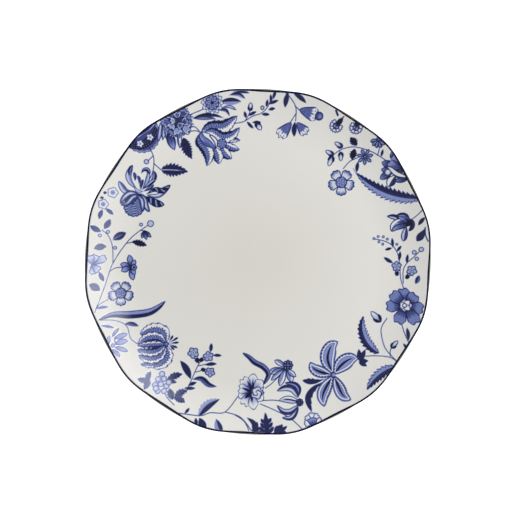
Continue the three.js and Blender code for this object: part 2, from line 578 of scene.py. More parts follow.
def peony(x, y, radius, turn):
    """A full head: frilled outer petals, and white-rimmed ones that spiral in to the heart."""
    outer = lambda at: streaked(DEEP, LIGHT + 0.08, 4)(at) * edge(radius * 0.9 - at.run)
    ring_of_petals(x, y, 11, radius, radius * 0.6, outer, turn, frills=4, frill=0.14)
    disc(x, y, radius * 0.62, DEEP, line=None)
    petals = 10
    for k in range(petals, 0, -1):
        around = turn + 137.5 * k
        spot = (x, y) + radius * 0.5 * (k / petals) ** 0.7 * toward(around)
        length = radius * (0.32 + 0.16 * k / petals)
        body = nested((0, BARE), (1.2, (MID, LIGHT, MID + 0.12)[k % 3]))
        petal(*spot, around + 30, length, 1.5 * length, body, frill=0.2, spread=0.3)


def marigold(x, y, radius):
    """A round head of small petals, with a scaled middle and a dark eye."""
    for size, turn in ((1.0, 0), (0.82, 14)):
        length = radius * size
        ring_of_petals(x, y, 12, length, length * 0.5, wash(MID, BARE, 0.95), turn, frills=1, line=DEEP)
    disc(x, y, radius * 0.62, scaled(4, 9, LIGHT, NAVY), line=DEEP)
    disc(x, y, radius * 0.14, NAVY, line=None)


def lily_petal(at):
    """Ink with a dashed blue border, then a pale ring, and a lens with a dark spine."""
    tone = nested((0, LIGHT + 0.06), (1.5, BARE), (2.5, MID + 0.1), (2.9, LIGHT))(at)
    border = edge(at.depth - 0.8) * edge(1.6 - at.depth) * edge(4 * (at.left + 1)) * edge(0.94 - at.along)
    tone = over(tone, NAVY, border * dashes(waves(at.run, 2.1), 0.2))
    spine = 0.85 * lens(1.4 * at.along - 0.16, 0.8, 0.4)
    return over(tone, NAVY, edge(spine - np.abs(at.left)) * edge(6 * (0.8 - at.along)))


# ---------------------------------------------------------------- the sprays at the top and right
def peony_spray():
    fringe = nested((0, PALE), (0.9, LIGHT), (1.5, MID + 0.1))
    disc(-91.6, 100.6, 14.4, fringe, lobes=22, lobe=0.022, line=DEEP)
    curve(7, beaded(DEEP - 0.3, NAVY), (-104, 92), (-92, 92), (-84, 97.6), (-80, 106), point=0.5, line=None)
    curve(2.6, LIGHT - 0.06, (-98, 95), (-90, 101), (-84, 105.4), (-78, 113), point=0.4, line=DEEP)
    curve(4, beaded(DEEP - 0.3, NAVY), (-96, 99), (-88, 104.6), (-82, 110), point=0.4, line=None)
    for x, y in ((-92.8, 93), (-85, 98.2)):
        disc(x, y, 2.2, wash(MID, BARE, 0.7), lobes=5, lobe=0.18, line=None)
    for x, y, tip_x, tip_y, tone in (
        (-76.4, 110, -79.4, 94, LIGHT), (-74, 110, -75.4, 96, PALE), (-72, 110, -72.6, 97, MID),
        (-63, 103, -62, 90, BARE),
    ):
        dart(x, y, tip_x, tip_y, 4, -10, ink=halved(tone, MID, rib=BARE), line=DEEP)
    dart(-70, 104, -66, 88.6, 7, 22, ink=streaked(NAVY, LIGHT, 3))
    peony(-64, 111, 13.6, turn=20)
    leaf(-59, 98.5, -52.4, 81.8, 9.4, 22, teeth=8, peak=0.42)
    stem((-85.5, 90), (-83, 84), (-82.5, 78), (-84, 70), (-88, 62))
    stem((-83, 84), (-88, 79))
    stem((-82.5, 78), (-77, 73))
    berry(-88.4, 79.3, 2)
    leaf(-77, 73, -55.6, 71.6, 11.6, -14, rib=BARE, teeth=8, peak=0.4)


def marigold_spray():
    stem((-54, 116), (-43, 120.5))
    dark, light = halved(NAVY - 0.06, LIGHT), halved(LIGHT, NAVY - 0.06)
    curve(3.4, light, (-23, 131), (-14, 134.5), (-6.5, 133), peak=0.6, line=None)
    curve(2.8, dark, (-22, 131), (-15, 131.6), (-10, 128.6), peak=0.6, line=None)
    curve(5.4, dark, (-30, 126), (-21, 126.6), (-13, 126.6), line=None)
    curve(2.4, PALE, (-29, 122), (-22, 122.6), (-17, 120), peak=0.6, line=DEEP)
    curve(2.6, halved(NAVY, MID), (-32, 120), (-25.6, 120), (-22.4, 115.6), line=None)
    dart(-46, 116.2, -27, 114, 2, -26, DEEP, line=None)
    dart(-46, 116.2, -32.6, 112.4, 2.4, -26, halved(LIGHT, MID), line=None)
    dart(-51.5, 113.4, -30, 115.6, 3.4, -30, ink=halved(NAVY, DEEP), line=None)
    dart(-51.5, 113.4, -34, 113.4, 2.6, -8, ink=LIGHT + 0.06, line=DEEP)
    marigold(-36, 125.4, 9)


def parrot_tulip():
    for start in (103, 106):
        stem((-54.5, start), (-50, start + 1), (-46, 103))
    for dark_side, width, *points in (
        (1, 5.4, (-31, 98), (-22, 97.4), (-14, 96.6)),
        (-1, 6.4, (-27.6, 95), (-21.6, 91), (-14.4, 89.2)),
        (-1, 8, (-29, 92), (-25.6, 86), (-20.6, 82)),
        (-1, 8.6, (-34.6, 91), (-32, 85), (-31, 77.6)),
        (-1, 10, (-44, 103), (-46, 96), (-41, 90), (-39, 83), (-40.6, 76)),
        (1, 10.6, (-45, 103), (-38, 107), (-28, 107), (-22, 110.6), (-16.4, 115.8)),
        (1, 9, (-43, 103), (-36, 103.4), (-28, 98.8), (-20, 101), (-14.4, 106.8)),
    ):
        curve(width, curled(dark_side), *points, point=0.85, frill=0.3, line=DEEP)
    curve(6, halved(MID - 0.1, MID), (-45, 104), (-44, 98), (-38.6, 93.6), (-33, 89.6), line=DEEP)
    curve(1.7, BARE, (-46.6, 104), (-44.6, 98), (-39, 93.4), line=MID)
    rim = nested((0, MID), (0.7, BARE))
    curve(3.4, rim, (-38.6, 101), (-35, 98), (-33, 94.6), (-33.4, 90.6), point=0.6)
    disc(-28.6, 94, 4, scaled(3, 7, LIGHT, NAVY), line=DEEP)


def top_sprig():
    stem((-19, 110), (-12, 111), (-4, 115.5), (3, 118), (8, 123), (10.6, 130))
    stem((-10, 112), (-7, 117), (-5.6, 123))
    each(
        leaf, (-9.4, 114, -10.8, 119.2, 2.4, 14), (-7.4, 115.8, -1, 119, 2.4, -16),
        (-8.6, 111.4, -3.4, 106, 2.4, 14), (-4.4, 110.6, 2.6, 110.8, 2.2, -14),
        (3, 117, 9.4, 116.6, 2.4, -14), (8.4, 120.4, 13.8, 121.4, 2.4, -14),
        (6.6, 122.6, 7.6, 128.2, 2.2, 12), (8.8, 124.6, 16.4, 127.4, 2.4, -16),
        (10.4, 125.6, 10, 132, 2.2, 12), (12, 128.4, 14.4, 135, 2.4, -12),
    )
    bud(-1.6, 111, 2.8, 104.6, 4.4)
    bud(-6.4, 119.4, -5.4, 126, 3.6)
    berry(3.6, 122, 1.6, NAVY)


def bells():
    stem((17, 137), (25, 130), (30, 122), (30, 112))
    stem((29.5, 123), (34, 119))
    stem((30, 117), (24.5, 108.6))
    bell(33, 120.4, -19, 16, 12, ball=3.3)
    bell(26.5, 110.5, 229, 15.5, 11)
    bell(31, 110.4, -49, 12.5, 9.6)
    each(leaf, (24, 133.5, 21.6, 122, 4, 18), (28, 132.4, 38, 125, 3.4, -30), (29.6, 111, 29, 99.4, 4, 16))


def florets():
    for x, y, heading in ((62, 107.5, 50), (77.5, 106, 78)):
        stem((x, y), (x, y) + 9 * toward(heading), width=0.8)
        for lean in (-110, -66, -22, 22, 66, 110):
            petal(x, y, heading + 180 + lean, 5.6, 4.6, fringed(BARE, LIGHT, 3), frills=2, frill=0.12)
        disc(x, y, 2.7, scaled(2, 3, LIGHT, NAVY))
        leaf(x, y, *((x, y) + 8 * toward(heading)), 4, tone=NAVY)
    stem((61.6, 119), (63, 115.6), width=1.4, tone=NAVY)


def right_branch():
    stem((59.6, 84.5), (66, 89), (76.5, 91), (90, 87), (101, 80))
    stem((68, 74), (73, 79.6), (79.5, 82.6))
    stem((96, 90), (94.6, 84))
    stem((65, 88.6), (65.4, 86))
    bud(60.4, 84.6, 53.8, 88.4, 3.6)
    bud(67.4, 90.6, 61, 95, 3.6)
    bud(59.6, 84.4, 56.2, 76, 4)
    bud(66, 87.4, 66, 80, 3.6)
    each(leaf, (78.6, 92, 73.2, 98.4, 6.6), (77, 89.6, 74.8, 81, 6.4, 10), tone=NAVY, teeth=5)
    leaf(79.8, 79.6, 78.6, 71, 2.8, 14)
    leaf(97.4, 83, 98.6, 88.6, 2)
    star(84.9, 83.2, 6.6, petals=7, turn=12, near=NAVY, far=LIGHT + 0.04)
    dog_rose(66.4, 63.2, 11)
    for heading in (188, 222, 256, 290, 324):
        blade(bow(95, 95.8, heading, 6.4), 3.4, halved(MID + 0.1, LIGHT), point=0.8, peak=0.6)
    disc(95, 96.4, 1.9, MID)


def feather_leaf():
    stem((83, 65.6), (79, 69), (76, 74), width=0.8, tone=LIGHT)
    feather(128, 49.6, 78.4, 70.6, 11.4, -48, dark_side=-1, teeth=15)


def lip_peony():
    inner = streaked(NAVY, LIGHT + 0.1, 3)
    each(
        dart, (108, 80, 105, 86.4, 5.4, 10), (107, 76, 98, 78.8, 6, -14), (106, 72, 97.6, 73, 5, 0),
        (106, 71, 97, 65.4, 6, 14), (118.8, 66, 108, 64, 4.6, -14), ink=inner, point=0.75,
    )
    disc(112, 72.6, 6.6, beaded(LIGHT - 0.3, DEEP, 2.6))
    petal(113.4, 75, 126, 12, 9, streaked(DEEP, LIGHT, 3))
    petal(114, 73, 160, 13, 9, streaked(DEEP, LIGHT, 3))
    rim = nested((0, MID), (0.7, BARE))
    curve(4.2, rim, (101.6, 75.4), (105, 73.4), (109.6, 69.4), (118, 66.4), point=0.6)
    disc(102.8, 70.8, 2.4, wash(BARE, PALE), line=MID)
    dart(109, 68.6, 103.4, 59, 7.2, 20, ink=halved(DEEP, BARE), peak=0.55)


def tulip_spray():
    stem((121, 33), (126, 37), (131, 42.6))
    curve(3.6, halved(DEEP, NAVY), (119, 34), (122, 31), (121.8, 27), (119.4, 24.4), point=0.6)
    curve(3.6, halved(LIGHT, NAVY - 0.1), (120, 32), (117, 36.4), (113, 37), (109, 35.4), point=0.6)
    curve(4.2, halved(PALE, NAVY - 0.14), (112, 33), (108.6, 35.4), (102.6, 36.2), point=0.8, peak=0.4)
    curve(5.6, halved(LIGHT, BARE), (119, 31.4), (112, 31.6), (107.6, 28.6), (106.2, 24), point=0.7)
    curve(4.2, streaked(NAVY, LIGHT, 2), (120, 31), (117, 34), (112.6, 33.4), point=0.6, line=MID + 0.1)
    curve(4.4, streaked(DEEP, LIGHT, 3), (120.4, 30), (115, 28.4), (110, 27), (106.4, 24), point=0.6)
    curve(2.6, streaked(NAVY, MID, 2), (118.6, 29.6), (114, 31.4), (110.4, 31.2), point=0.7, line=None)
    curve(5, halved(DEEP - 0.1, PALE), (117.4, 28), (116.4, 22), (115.6, 16.2), point=0.6, peak=0.6)
    dart(121.6, 32.6, 117.4, 28.2, 4.4, line=None)
    leaf(131.6, 35, 126.6, 28.6, 3, 20)
    leaf(132, 27, 125.4, 16.2, 5.4, -20, peak=0.64)
    stem((131.6, 27), (132, 21), (134, 16), width=0.7)


def right_twigs():
    stem((116, -22), (113.4, -13), (112, 3.3), (107.4, 12.5), (100, 16.6), (92, 18.2))
    stem((115.4, -17), (115.4, -7), (118.2, -1.2), (123.4, 3.6), (128.4, 9))
    each(
        leaf, (107.2, 11.3, 106.6, 19, 2.2, 12), (106.6, 10.8, 101.2, 9.2, 2.2, 14),
        (110.6, 8, 114, 12.6, 2.2, -12), (112, 0.6, 113, 8.4, 2.4, 10), (107.6, -1, 100.2, 3.6, 2.8, -12),
        (118.2, -1.4, 119, 6, 2.2, -12),
    )
    for spot in ((92.4, 18.4), (95.8, 20), (96.4, 15.8), (99.8, 19.8), (99.4, 14), (103, 18), (110.4, 13.8)):
        berry(*spot, 1.1)
    each(berry, (129, 9.7, 2), (123.8, 7.4, 1.8), (125.7, 2.3, 1.6))
    blossom(110.3, -3.6, 3.7, calyx=272)
    blossom(121.9, -7, 3.8, calyx=236)
    leaf(124.6, -17.6, 127.4, -10.6, 3.6, 20, other=MID)


def hibiscus_spray():
    stem((114, -50), (116, -57), (119.6, -65.6))
    hibiscus(117, -34.6, 16.4, turn=38)
    leaf(118.6, -62, 117.6, -52, 2.8, 16)
    leaf(118, -69, 114.6, -64.4, 2)


def feather_buds():
    stem((84, -75), (96, -74.6), (104.7, -75.6), (109.6, -78.6))
    stem((109.6, -78.6), (101, -68.6), (98, -57), (98.8, -51), (102.6, -45))
    stem((104.6, -74.6), (104.6, -71), (105.4, -68.4))
    for tip in ((80.2, -69.4), (85.4, -69.6), (87.6, -78.6), (86.4, -82.8)):
        dart(80.6, -78.6, *tip, 4, 14, DARK_LEAF, peak=0.4, line=None)
    feather(96, -72.4, 84, -43.4, 9.6, -80, dark_side=1, teeth=11)
    bud(97.8, -48, 90, -39.6, 4.8)
    bud(105.4, -68.4, 110.6, -62.4, 3.4)
    feather(108, -82.4, 86, -100.8, 9, 44, dark_side=1, teeth=9)


# ---------------------------------------------------------------- the sprays at the bottom and left
def lily_spray():
    for width, side, peak, *points in (
        (5, -1, 0.66, (54, -93), (46, -95), (35.4, -94.6)),
        (5.6, 1, 0.6, (53, -95), (44.6, -101), (40.2, -109), (42.6, -118.8)),
    ):
        curve(width, DARK_LEAF, *points, peak=peak, teeth=5, toothed_side=side, line=None)
    for width, *points in (
        (12.6, (55.6, -78), (58, -68), (63.8, -63.6)), (12.6, (66.6, -82), (73.6, -77.4), (79.8, -77)),
        (10, (64, -99), (67.4, -105.6), (73.6, -109)), (10.4, (54, -100), (51.4, -107), (52.6, -114.8)),
        (9.6, (50.6, -88), (44.6, -85), (41.6, -79.8)),
    ):
        curve(width, lily_petal, (60.2, -90), *points, point=0.8, peak=0.54, line=DEEP)
    disc(60.2, -90, 1.2, LIGHT, line=None)
    for heading in (15, 60, 105, 150, 195):
        petal(43.4, -126, heading, 7.4, 6, fringed(BARE, LIGHT, 5), line=DEEP)
    petal(43.8, -130, 100, 7.6, 9, streaked(DEEP, LIGHT, 4), frills=4, line=DEEP)


def bottom_flowers():
    stem((4, -110.4), (12, -110), (20, -111))
    stem((2, -113), (14, -118), (26, -124), (36, -132.6))
    stem((6, -100.6), (11, -97), (17, -91))
    ribbon = ((-12, -72.6), (-7, -76), (-2.6, -80), (4.6, -84), (8.4, -90), (4.4, -97.8))
    curve(4.6, halved(MID - 0.08, NAVY), *ribbon, point=0.5, line=DEEP)
    outer = streaked(MID, BARE, 3, reach=0.85)
    for heading, length, frills in (
        (84, 13.6, 1), (2, 10.4, 2), (206, 12, 1), (128, 13.2, 2), (320, 12, 1), (240, 14, 2), (42, 12, 1),
        (170, 11.4, 2), (276, 15, 1),
    ):
        petal(-4.8, -102.6, heading, length, 9.6, outer, frills, frill=0.14, line=DEEP)
    for tip in ((-8.6, -94.6, 2), (-4, -94, 1.6), (-13, -100.4, 2), (-10.4, -109, 3), (-4.6, -112, 2)):
        dart(-4.6, -104, *tip, bend=16, peak=0.35, line=None)
    swirl = lambda at: PALE * at.along + DEEP * dashes(2 * at.side + 9 * at.along, 0.9)
    disc(-0.8, -104.4, 4.8, swirl, lobes=5, lobe=0.1, line=DEEP)
    for tip in (
        (13.2, -78.6, 4.5, 26), (9.6, -86, 4.1, -18), (10.4, -89.6, 3.9, 16), (10.6, -94.6, 3.9, 14),
        (17.4, -99, 5.5, 8), (27, -96, 5.5, -20), (30.4, -91.6, 4.5, 14),
    ):
        dart(22.4, -84.6, *tip, halved(BARE, LIGHT, MID), point=0.8, peak=0.6)
    bead_head(24, -82.4, 3, bead=1.3)
    upper, lower = halved(PALE, DEEP), halved(DEEP, PALE)
    each(
        curve, (4, halved(LIGHT, NAVY - 0.1), (32, -107), (32.6, -101), (29, -97.4), (21.4, -96.4)),
        (5.6, upper, (32, -108), (28, -101.6), (22, -100.4), (15.2, -102.8)),
        (5.8, halved(PALE, BARE, NAVY, 0.5), (32, -111), (24, -109.4), (17, -110)),
        (4, lower, (32, -115), (27, -123), (19, -123.4)),
        (4.6, lower, (32, -114), (26, -118.6), (20, -118.4), (15.2, -114)), point=0.7, peak=0.45,
        line=DEEP,
    )
    bead_head(33.2, -111.6, 2)


def bottom_leaves():
    curve(4.6, DARK_LEAF, (-2, -136), (-3, -128), (-8.8, -123.4), peak=0.3, line=None)
    acanthus(-1, -137, -0.6, -126.4, 7, lobes=2)
    acanthus(7.4, -137, 5.8, -119.6, 10, 6)
    acanthus(12, -135.6, 23, -129.6, 8.6, 20)
    stem((-63, -119), (-46, -121.4), (-37.6, -119.4), (-26, -119), (-16, -107.4))
    stem((-26, -119), (-14, -123), (-5, -133))
    stem((-18, -121.4), (-11, -126), (-7, -133))
    broad = halved(LIGHT - 0.04, NAVY - 0.14)
    points = ((-47, -122), (-43, -116), (-38, -112), (-30.2, -109))
    curve(7.6, broad, *points, peak=0.46, teeth=8, toothed_side=1, line=None)
    leaf(-46, -123, -40.6, -132.6, 5.6, 14)
    leaf(-49, -123, -48.2, -129, 2.8)
    leaf(-57.6, -119.6, -54, -115.6, 2.2)
    leaf(-33, -124, -28, -137, 6, 14, tone=DEEP, other=LIGHT)


def grapes():
    stem((-75, -102), (-71, -108), (-66, -113))
    for tone, *rows in (
        (MID + 0.06, (-88, -95, -84.6, -86.8, 5.4), (-86, -94, -95, -92, 5), (-86, -92, -89.6, -100.6, 6)),
        (MID + 0.2, (-72, -93.6, -60, -89.4, 6.4), (-71, -95, -64.4, -96, 3.6)),
        (
            MID + 0.16, (-67, -109, -69.8, -100.2, 6.6), (-66, -107, -56.4, -102, 6.4),
            (-67, -107, -57.6, -111.4, 6),
        ),
    ):
        each(leaf, *rows, bend=-26, tone=tone, other=tone + 0.08, teeth=5)
    leaf(-58.4, -100.4, -49.6, -100.6, 2.6, tone=DEEP)
    for x, y in (
        (-76, -89), (-79, -93), (-74.4, -92.8), (-81.2, -97.4), (-76.8, -97), (-72.4, -98.4), (-79.2, -102),
        (-74.2, -102.2), (-80.6, -100), (-70.6, -95.6),
    ):
        disc(x, y, 2.4, wash(PALE, LIGHT - 0.06), line=MID + 0.1)


def blossom_sprig():
    stem((-57, -104), (-52.6, -93.6), (-47, -81.4), (-43, -78), (-37.6, -72.6))
    stem((-47, -81.4), (-48.6, -77))
    stem((-50, -88), (-44, -86.4))
    stem((-47.6, -83), (-41, -81.6))
    each(
        leaf, (-37.8, -72, -37, -64.8, 2.8, 10), (-35.6, -74.6, -28.8, -74.8, 2.4, -12),
        (-42, -82.2, -32.6, -81.4, 2.8, -16), (-53.4, -93.4, -61.8, -78.8, 5.2, 26),
        (-55.4, -98.4, -48.6, -96, 2.6, -14),
    )
    curve(4.6, halved(NAVY - 0.08, MID), (-52, -93.6), (-45, -93.2), (-39, -98), (-32.6, -99.4), line=None)
    blossom(-51.4, -72.6, 4.2, calyx=298)
    blossom(-39.4, -75.4, 3.9, calyx=206)
    blossom(-38, -88, 3.7, calyx=160)


def pomegranate():
    stem((-124, -46), (-113, -46.6), (-104.3, -50.9), (-100.7, -61), (-94, -66))
    for tip in ((-67.4, -58.6), (-63.4, -60.2), (-62.8, -64.2), (-64, -68.6), (-66.4, -70.2)):
        dart(-71.4, -65.2, *tip, 1.6, ink=DEEP + 0.1, peak=0.75, line=None)
    for width, *points in (
        (10.6, (-73, -64), (-75, -56), (-83, -54), (-93.6, -57.6)),
        (5.6, (-93, -81), (-84, -82), (-78, -78), (-73, -67)),
        (9.4, (-83, -84), (-76.4, -81), (-71.6, -75), (-73, -67)),
        (7, (-94.6, -74), (-87, -77.4), (-78, -75.4), (-73, -67)),
        (7.4, (-73, -65), (-79, -60), (-88, -60.4), (-95.4, -65.6)),
        (6.6, (-95.6, -69.6), (-88, -72), (-80, -71), (-73, -66)),
        (5.4, (-73, -65.6), (-80, -65.6), (-88, -66), (-95.6, -66.6)),
    ):
        curve(width, curled(rim=0.36), *points, point=0.65, frill=0.4, line=DEEP)
    disc(-73, -65.6, 2, scaled(2, 3, LIGHT, NAVY))


def crescent_leaf():
    crescent = ((-125.6, -46), (-115, -42), (-102, -42.2), (-88, -40.6), (-80, -36.8), (-73.6, -31.4))
    curve(6.2, halved(LIGHT, NAVY - 0.1), *crescent, point=0.62, peak=0.55, line=DEEP)
    leaf(-127.6, -37, -118, -35.8, 2.6, -16, tone=MID)
    leaf(-106, -49.6, -94.8, -51.4, 3.6, -40, tone=DEEP, other=MID)
    leaf(-124, -50.4, -113, -52.4, 2.4, -14, tone=MID)
    each(
        dart, (-115, -59.4, -109.8, -52.6, 2.6), (-113, -61, -103.4, -57.4, 4.4),
        (-112.6, -65, -103, -62.6, 4.6), (-113, -67.4, -102.8, -71.2, 3.6), (-115, -69, -108.6, -75, 3),
        (-118, -66, -117, -58, 3), bend=-18, ink=wash(LIGHT + 0.12, PALE + 0.1), point=0.7, line=MID + 0.1,
    )
    disc(-114.4, -66, 1.8, LIGHT, line=MID)
    stem((-113, -59.6), (-113, -62.6), (-111.6, -65.4), width=0.8, tone=DEEP)


def left_rosette():
    stem((-127.6, -37), (-124, -33), (-117, -29))
    dog_rose(-108.8, -25, 10.4)


def left_spray():
    stem((-128.4, -40), (-121.7, -21), (-117.6, -7.8), (-115, -1.2), (-108.4, 9.6), (-99.3, 20.4), (-86, 30))
    stem((-115, -1.2), (-115.4, 12), (-118.4, 20.4), (-123, 25))
    stem((-117.6, -7.8), (-113, -5), (-107, -4.4))
    stem((-104.6, 14.6), (-100, 15.4))
    berry(-85.4, 30.3, 2.7)
    for x, y in ((-93, 29.6), (-125, 20.8), (-118.7, 23.6), (-113.4, 11)):
        berry(x, y, 1.5)
    stem((-93.6, 25), (-90, 24.6))
    for tip in ((-92.6, 18.6, 3.6, -20), (-84.6, 19.4, 3.6, 20), (-88.6, 17.2, 3.6)):
        dart(-90.4, 25, *tip, ink=streaked(NAVY, LIGHT, 2))
    leaf(-100.4, 16, -88.4, 12.8, 5.8, -14, tone=NAVY, teeth=6)
    each(
        leaf, (-121.8, 26, -116.8, 33.8, 4.6, 16), (-123.8, 23.8, -132, 28.6, 4.4, -18),
        (-120, 12, -129.4, 10, 5.4, 34), (-125.4, -8, -121.8, -15.6, 3.6, 16),
        (-133, -18, -124.8, -22.8, 6, -20), tone=MID + 0.14,
    )
    leaf(-115.2, 17.2, -104.6, 23, 6, -14, tone=DEEP, rib=LIGHT)
    for tip in (
        (-102.6, 5.6, 5), (-99, -14.8, 5), (-109.4, -2, 5), (-108.6, -7.6, 5), (-97.6, 1.6, 4),
        (-97.4, -10, 4),
    ):
        dart(-101, -4.4, *tip, 14, wash(DEEP, LIGHT, 0.6), point=0.8, peak=0.55)
    disc(-98.6, -4.6, 2.4, LIGHT)
    disc(-98.6, -4.6, 0.9, NAVY, line=None)
    for heading, length in ((-78, 8), (-40, 8), (30, 13), (68, 9), (100, 8)):
        petal(-131, -2.4, heading, length, 7, wash(MID, PALE + 0.04, 0.8), frills=2, line=DEEP)


def iris():
    for width, left, right, *points in (
        (4.6, PALE, LIGHT, (-95.6, 57), (-101, 63), (-102.4, 69), (-99, 76.6)),
        (3, NAVY, LIGHT + 0.06, (-102, 68), (-101.6, 72), (-99.4, 76.4)),
        (2.6, MID, DEEP, (-97.4, 64), (-97.4, 68), (-98.4, 71)),
        (2.4, MID, DEEP, (-94.6, 62), (-94, 65), (-95.4, 68.4)),
        (2.8, MID, DEEP + 0.06, (-93, 57), (-92.6, 61.6), (-91, 65.4)),
        (3.4, LIGHT, PALE, (-92, 57), (-88.6, 63), (-87, 69), (-88, 72)),
        (3.4, LIGHT, NAVY, (-92.4, 70), (-90.6, 72.8), (-87.6, 73), (-85.6, 69.4)),
        (3.8, LIGHT, NAVY - 0.1, (-88, 62), (-84, 64), (-82, 68), (-83, 72.4)),
        (3.4, PALE, NAVY - 0.06, (-91.4, 57.6), (-86, 62), (-80.8, 66)),
        (2.6, LIGHT, NAVY - 0.04, (-91, 56), (-86, 58.4), (-82.6, 61.4)),
        (5, PALE, MID, (-97.6, 55.6), (-105, 56), (-110, 63.8)),
    ):
        curve(width, halved(left, right), *points, point=0.8, peak=0.6, line=DEEP)
    curve(2.6, PALE, (-91, 55.6), (-96, 56.6), (-98, 60), line=MID)
    banded = lambda at: NAVY - 0.06 - 0.6 * dashes(1.3 * at.run + 2.4 * at.side, 0.6)
    curve(3.6, halved(BARE, LIGHT + 0.08), (-88, 53), (-79, 52.6), (-70, 59.6), point=0.7, line=DEEP)
    curve(4.6, banded, (-89, 53.4), (-82, 57.4), (-76, 56.6), (-69.6, 61), point=0.7, peak=0.64)
    curve(6.2, banded, (-89, 52), (-82, 47), (-74.4, 45.2), point=0.7, peak=0.56)
    bulb = lambda at: LIGHT - 0.02 + 0.6 * dashes(3.2 * (at.left - at.run + np.sin(at.run)), 0.4)
    disc(-98.4, 44, 8.2, bulb, lobes=15, lobe=0.03)
    rim = nested((0, BARE), (0.6, DEEP), (1.1, LIGHT), (1.9, BARE))
    for width, *points in (
        (4.6, (-94, 53), (-101, 54.4), (-106, 51), (-109, 46)),
        (5, (-95, 54), (-90.6, 50), (-89, 44), (-86.2, 39.6)),
        (4.4, (-92, 52), (-98.6, 51.6), (-103.6, 46.6), (-108.6, 45)),
        (4.4, (-96.6, 52.6), (-92.4, 49), (-91.6, 40)),
        (2.4, (-96, 51), (-99, 48), (-99.6, 45)),
    ):
        curve(width, rim, *points, point=0.55, line=DEEP + 0.1)


def left_blossoms():
    for x, y, radius in ((-114.6, 54.7, 4.1), (-121.9, 45.4, 3.9)):
        disc(x, y, radius, wash(PALE, BARE), lobes=5, lobe=0.08, line=MID + 0.04)
        berry(x, y, radius * 0.4, MID)
        disc(x, y, 0.5, DEEP, line=None)
    for x, y in ((-120.4, 54.4), (-122.8, 50.4)):
        leaf(x - 1.4, y, x + 1.4, y, 2.2, tone=DEEP)
    each(leaf, (-122.6, 41.2, -125.2, 33.6, 3.4, 18), (-120.4, 42, -114.4, 37.2, 3, -14), tone=MID + 0.14)


DRAWINGS = (
    peony_spray, marigold_spray, parrot_tulip, top_sprig, bells, florets, right_branch, lip_peony,
    feather_leaf, tulip_spray, right_twigs, hibiscus_spray, feather_buds, lily_spray, bottom_leaves,
    bottom_flowers, grapes, blossom_sprig, pomegranate, crescent_leaf, left_rosette, left_spray, iris,
    left_blossoms,
)


# ---------------------------------------------------------------- materials
SHADED_WELL_WHITE = (0.785, 0.765, 0.7)  # painted shade: the well is painted greyer, and the rim whiter, as the light falls on them
LIT_RIM_WHITE = (0.86, 0.85, 0.81)
LIP_EDGE_SHADE = (0.3, 0.32, 0.21)  # painted shade, olive grey, round the lip's outer edge
CLAY = (0.66, 0.6, 0.5)
SPECK_GREY = (0.3, 0.28, 0.24)
GLAZE_IOR = 1.5
COBALT = [
    (PALE, (0.55, 0.6, 0.72)),
    (LIGHT, (0.25, 0.31, 0.62)),
    (MID, (0.065, 0.095, 0.33)),
    (DEEP, (0.017, 0.02, 0.1)),
    (NAVY, (0.002, 0.002, 0.022)),
]


def give(socket, value):
    """Sets a node's input, or links it where the value is another node's output."""
    if isinstance(value, bpy.types.NodeSocket):
        socket.id_data.links.new(value, socket)
    else:
        socket.default_value = value


def feed(node, **values):
    """Gives a node its inputs by their names, with _ for a space."""
    for name, value in values.items():
        give(node.inputs[name.replace("_", " ")], value)


def node_adder(tree):
    """A function that adds a kind of node to this tree and returns one of its outputs.

    It takes the first inputs in order, and other inputs and settings by name.
    """

    def add(kind, output, *inputs, **named):
        node = tree.nodes.new("ShaderNode" + kind)
        for name, value in named.items():
            if hasattr(node, name):
                setattr(node, name, value)
            else:
                feed(node, **{name: value})
        for socket, value in zip(node.inputs, inputs):
            give(socket, value)
        return node.outputs[output] if output else node

    return add


def new_material(name):
    """A node material, its shader, and the function that adds its nodes."""
    material = bpy.data.materials.new(name)
    material.use_nodes = True
    return material, material.node_tree.nodes["Principled BSDF"], node_adder(material.node_tree)


def ramp(add, share, *stops):
    """A colour that passes these (position, colour) stops as share goes from 0 to 1."""
    node = add("ValToRGB", None, share)
    elements = node.color_ramp.elements
    while len(elements) < len(stops):
        elements.new(0.5)
    for element, (position, colour) in zip(elements, stops):
        element.position = position
        element.color = (*colour, 1)
    return node.outputs["Color"]


def mix_colours(add, share, one, other):
    """A colour that goes from one to the other as share goes from 0 to 1."""
    node = add("Mix", None, share, data_type="RGBA")
    for name, colour in (("A", one), ("B", other)):
        socket = next(s for s in node.inputs if s.name == name and s.type == "RGBA")
        give(socket, (*colour, 1) if isinstance(colour, tuple) else colour)
    return next(s for s in node.outputs if s.type == "RGBA")


def gloss_surface(shader, add):
    """The clear glaze: glossy, with the faint ripple that a fired glaze has."""
    where = add("TexCoord", "Object")
    ripple = add("TexNoise", "Fac", where, Scale=70, Detail=2)
    sheen = add("MapRange", "Result", ripple, To_Min=0.07, To_Max=0.13)
    bump = add("Bump", "Normal", Strength=0.2, Distance=0.1 * MM, Height=ripple)
    feed(shader, IOR=GLAZE_IOR, Specular_IOR_Level=0.35, Roughness=sheen, Normal=bump)
    return where


def white_body(where, add):
    """Colour of the white body under clear glaze: faint clouds, a few tiny grey specks, and painted shade
    that greys it in the well and whitens it towards the lip.
    """
    flat = add("VectorMath", "Vector", where, (1, 1, 0), operation="MULTIPLY")
    radius = add("VectorMath", "Value", flat, operation="LENGTH")
    # painted shade: the body is painted greyer in the well and whiter out towards the lip
    lit_outward = add("MapRange", "Result", radius, From_Max=LIP_RADIUS * MM)
    cloud = add("TexNoise", "Fac", where, Scale=12, Detail=3)
    clouds_and_shade = add("Math", "Value", cloud, 0.3, lit_outward, operation="MULTIPLY_ADD")
    cloud_and_shade_tint = ramp(add, clouds_and_shade, (0.25, SHADED_WELL_WHITE), (1, LIT_RIM_WHITE))
    grain = add("TexVoronoi", "Distance", where, Scale=210)
    speck = add("MapRange", "Result", grain, From_Min=0.05, From_Max=0.09, To_Min=0.16, To_Max=0)
    return mix_colours(add, speck, cloud_and_shade_tint, SPECK_GREY)


